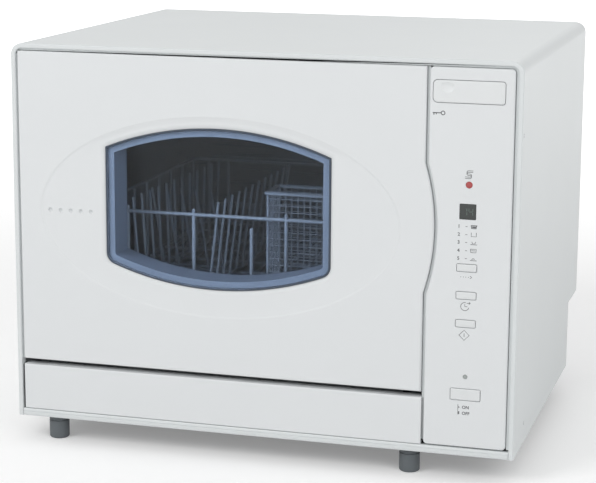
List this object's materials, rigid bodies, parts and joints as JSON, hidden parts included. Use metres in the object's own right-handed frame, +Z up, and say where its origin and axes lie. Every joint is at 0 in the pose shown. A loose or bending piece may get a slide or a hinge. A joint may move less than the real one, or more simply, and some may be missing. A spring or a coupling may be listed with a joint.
{
  "type": "countertop dishwasher",
  "caption": "Compact free-standing dishwasher with a drop-down window door, a side control column, and a wire rack with a cutlery basket that rolls out.",
  "frame": {"origin": "on the surface that the feet stand on, under the middle of the cabinet", "axes": "+X to the viewer's right, +Y from the door to the back, +Z up"},
  "size_m": [0.55, 0.453, 0.438],
  "materials": {
    "painted_steel": "white stove enamel, satin gloss",
    "white_plastic": "white moulded plastic, satin",
    "button_plastic": "white moulded plastic",
    "galvanised_steel": "zinc plated",
    "stainless_steel": "brushed",
    "seal_rubber": "matte",
    "foot_plastic": "moulded",
    "pump_plastic": "moulded",
    "grey_plastic": "moulded",
    "clear_grey_plastic": "moulded, translucent",
    "salt_cap_plastic": "moulded",
    "rinse_cap_plastic": "moulded",
    "circuit_board": "solder mask",
    "display_glass": "smoked lens",
    "red_lens": "tinted lens",
    "grey_lens": "clear lens, unlit",
    "outer_glass": "clear, printed border",
    "inner_glass": "dark tint",
    "window_frame_plastic": "blue grey",
    "coated_wire": "blue grey plastic coating on steel wire"
  },
  "bodies": {
    "cabinet": {"cabinet_wrap": "painted_steel", "back_panel": "galvanised_steel", "base_tray": "foot_plastic", "bottom_trim": "white_plastic", "kick_panel": "white_plastic", "front_frame": "painted_steel", "tub": "stainless_steel", "wheel_rails": "stainless_steel", "tub_seal": "seal_rubber", "hinge_brackets": "galvanised_steel", "hinge_pins": "stainless_steel", "spray_hub": "grey_plastic", "filter_plate": "stainless_steel", "sump": "pump_plastic", "circulation_pump": "pump_plastic", "drain_pump": "pump_plastic", "heater": "stainless_steel", "softener": "clear_grey_plastic", "inlet_valve": "clear_grey_plastic", "cord_gland": "seal_rubber", "air_break": "clear_grey_plastic", "control_fascia": "white_plastic", "control_board": "circuit_board", "display_window": "display_glass", "salt_light": "red_lens", "power_light": "grey_lens", "latch_housing": "grey_plastic"},
    "door": {"door_skin": "white_plastic", "door_inner_panel": "stainless_steel", "door_striker": "stainless_steel", "hinge_arms": "galvanised_steel", "window_gasket": "seal_rubber", "window_outer_pane": "outer_glass", "window_frame": "window_frame_plastic", "window_inner_pane": "inner_glass", "dispenser": "grey_plastic"},
    "rack": {"rack_floor": "coated_wire", "rack_sides": "coated_wire", "rack_ends": "coated_wire", "plate_supports": "coated_wire"},
    "foot_front_left": {"foot_front_left": "foot_plastic"},
    "foot_front_right": {"foot_front_right": "foot_plastic"},
    "foot_rear_left": {"foot_rear_left": "foot_plastic"},
    "foot_rear_right": {"foot_rear_right": "foot_plastic"},
    "filter_cup": {"filter_cup": "grey_plastic"},
    "salt_cap": {"salt_cap": "salt_cap_plastic"},
    "spray_arm": {"spray_arm": "grey_plastic"},
    "dispenser_lid": {"dispenser_lid": "grey_plastic"},
    "rinse_cap": {"rinse_cap": "rinse_cap_plastic"},
    "latch_hook": {"latch_hook": "galvanised_steel"},
    "open_button": {"open_button": "button_plastic"},
    "programme_button": {"programme_button": "button_plastic"},
    "delay_button": {"delay_button": "button_plastic"},
    "start_button": {"start_button": "button_plastic"},
    "power_button": {"power_button": "button_plastic"},
    "cutlery_basket": {"cutlery_basket": "coated_wire"},
    "rack_wheel_front_left": {"rack_wheel_front_left": "grey_plastic"},
    "rack_wheel_front_right": {"rack_wheel_front_right": "grey_plastic"},
    "rack_wheel_rear_left": {"rack_wheel_rear_left": "grey_plastic"},
    "rack_wheel_rear_right": {"rack_wheel_rear_right": "grey_plastic"}
  },
  "joints": [
    {"name": "door_hinge", "type": "hinge", "parent": "cabinet", "child": "door", "pos_m": [-0.046, -0.213, 0.1], "axis": [1, 0, 0], "range_deg": [0, 90]},
    {"name": "rack_slide", "type": "slide", "parent": "cabinet", "child": "rack", "axis": [0, -1, 0], "range_m": [0, 0.1205]},
    {"name": "basket_lift", "type": "slide", "parent": "rack", "child": "cutlery_basket", "axis": [0, 0, 1], "range_m": [0, 0.12]},
    {"name": "spray_arm_spin", "type": "hinge", "parent": "cabinet", "child": "spray_arm", "pos_m": [-0.046, 0.0195, 0.133], "axis": [0, 0, 1], "continuous": true},
    {"name": "filter_turn", "type": "hinge", "parent": "cabinet", "child": "filter_cup", "pos_m": [-0.046, 0.0915, 0.11], "axis": [0, 0, 1], "range_deg": [0, 90]},
    {"name": "salt_cap_turn", "type": "hinge", "parent": "cabinet", "child": "salt_cap", "pos_m": [0.095, 0.1035, 0.114], "axis": [0, 0, 1], "range_deg": [0, 540]},
    {"name": "dispenser_lid_slide", "type": "slide", "parent": "door", "child": "dispenser_lid", "axis": [0, 0, 1], "range_m": [0, 0.048]},
    {"name": "rinse_cap_turn", "type": "hinge", "parent": "door", "child": "rinse_cap", "pos_m": [0.117, -0.1765, 0.234], "axis": [0, 1, 0], "range_deg": [0, 90]},
    {"name": "open_button_press", "type": "slide", "parent": "cabinet", "child": "open_button", "axis": [0, 1, 0], "range_m": [0, 0.004], "stiffness_N_per_m": 900},
    {"name": "latch_lift", "type": "hinge", "parent": "cabinet", "child": "latch_hook", "pos_m": [0.165, -0.1345, 0.416], "axis": [1, 0, 0], "range_deg": [0, 13.6]},
    {"name": "programme_button_press", "type": "slide", "parent": "cabinet", "child": "programme_button", "axis": [0, 1, 0], "range_m": [0, 0.0015], "stiffness_N_per_m": 600},
    {"name": "delay_button_press", "type": "slide", "parent": "cabinet", "child": "delay_button", "axis": [0, 1, 0], "range_m": [0, 0.0015], "stiffness_N_per_m": 600},
    {"name": "start_button_press", "type": "slide", "parent": "cabinet", "child": "start_button", "axis": [0, 1, 0], "range_m": [0, 0.0015], "stiffness_N_per_m": 600},
    {"name": "power_button_press", "type": "slide", "parent": "cabinet", "child": "power_button", "axis": [0, 1, 0], "range_m": [0, 0.0025], "stiffness_N_per_m": 600},
    {"name": "rack_wheel_front_left_spin", "type": "hinge", "parent": "rack", "child": "rack_wheel_front_left", "pos_m": [-0.228, 0.0015, 0.1488], "axis": [1, 0, 0], "range_deg": [-5, 578]},
    {"name": "rack_wheel_front_right_spin", "type": "hinge", "parent": "rack", "child": "rack_wheel_front_right", "pos_m": [0.136, 0.0015, 0.1488], "axis": [1, 0, 0], "range_deg": [-5, 578]},
    {"name": "rack_wheel_rear_left_spin", "type": "hinge", "parent": "rack", "child": "rack_wheel_rear_left", "pos_m": [-0.228, 0.1785, 0.1488], "axis": [1, 0, 0], "range_deg": [-5, 578]},
    {"name": "rack_wheel_rear_right_spin", "type": "hinge", "parent": "rack", "child": "rack_wheel_rear_right", "pos_m": [0.136, 0.1785, 0.1488], "axis": [1, 0, 0], "range_deg": [-5, 578]},
    {"name": "foot_front_left_turn", "type": "hinge", "parent": "cabinet", "child": "foot_front_left", "pos_m": [-0.236, -0.2055, 0.02], "axis": [0, 0, 1], "continuous": true},
    {"name": "foot_front_right_turn", "type": "hinge", "parent": "cabinet", "child": "foot_front_right", "pos_m": [0.162, -0.2055, 0.02], "axis": [0, 0, 1], "continuous": true},
    {"name": "foot_rear_left_turn", "type": "hinge", "parent": "cabinet", "child": "foot_rear_left", "pos_m": [-0.236, 0.1335, 0.02], "axis": [0, 0, 1], "continuous": true},
    {"name": "foot_rear_right_turn", "type": "hinge", "parent": "cabinet", "child": "foot_rear_right", "pos_m": [0.162, 0.1335, 0.02], "axis": [0, 0, 1], "continuous": true}
  ],
  "couplings": [
    {"joint": "rack_slide", "follows": "door_hinge", "m_per_rad": 0.076394},
    {"joint": "latch_lift", "follows": "open_button_press", "rad_per_m": 58.824},
    {"joint": "rack_wheel_front_left_spin", "follows": "door_hinge", "ratio": 6.3662},
    {"joint": "rack_wheel_front_right_spin", "follows": "door_hinge", "ratio": 6.3662},
    {"joint": "rack_wheel_rear_left_spin", "follows": "door_hinge", "ratio": 6.3662},
    {"joint": "rack_wheel_rear_right_spin", "follows": "door_hinge", "ratio": 6.3662}
  ]
}
